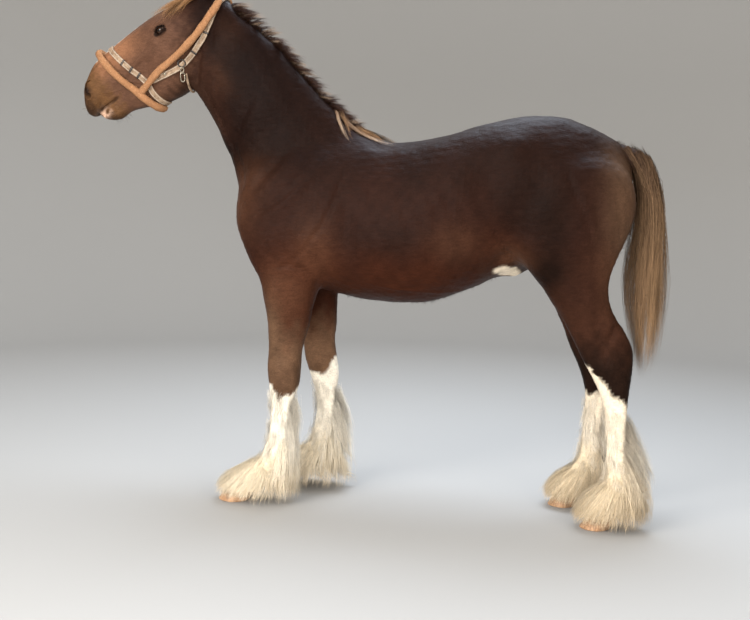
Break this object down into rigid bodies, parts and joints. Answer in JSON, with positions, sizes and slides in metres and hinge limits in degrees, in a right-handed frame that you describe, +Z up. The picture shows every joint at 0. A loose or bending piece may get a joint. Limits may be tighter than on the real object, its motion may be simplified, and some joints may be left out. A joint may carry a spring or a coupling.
{
  "type": "shire horse",
  "caption": "Still, life-size young shire horse standing square in a halter, with feathered white legs, short mane and long wavy tail.",
  "frame": {"origin": "on the floor, under the middle of the box round the whole horse", "axes": "+Z up, -X the way the horse faces, -Y its left side, in metres"},
  "size_m": [2.4706, 0.5558, 2.2653],
  "materials": {
    "bay_coat": "short sleek bay hair with a soft sheen",
    "white_hair": "long silky white feather hair, stained at the bottom",
    "tail_hair": "long wavy hair, dark at the root and blond at the tips",
    "hoof": "pale ridged horn",
    "eye": "wet dark brown eye",
    "webbing": "worn grey stitched webbing",
    "fleece": "matted tan fleece sleeve"
  },
  "bodies": {
    "root": {"ear_left": "bay_coat", "ear_right": "bay_coat", "eye_left": "eye", "eye_right": "eye", "fleece_cheek": "fleece", "fleece_nose": "fleece", "foreleg_lower_left": "white_hair", "foreleg_lower_right": "white_hair", "foreleg_upper_left": "bay_coat", "foreleg_upper_right": "bay_coat", "head": "bay_coat", "hindleg_lower_left": "white_hair", "hindleg_lower_right": "white_hair", "hindleg_upper_left": "bay_coat", "hindleg_upper_right": "bay_coat", "hoof_fore_left": "hoof", "hoof_fore_right": "hoof", "hoof_hind_left": "hoof", "hoof_hind_right": "hoof", "neck": "bay_coat", "tail": "tail_hair", "torso": "bay_coat", "webbing_cheek": "webbing", "webbing_chin": "webbing", "webbing_nose": "webbing", "webbing_throat": "webbing"}
  },
  "joints": []
}
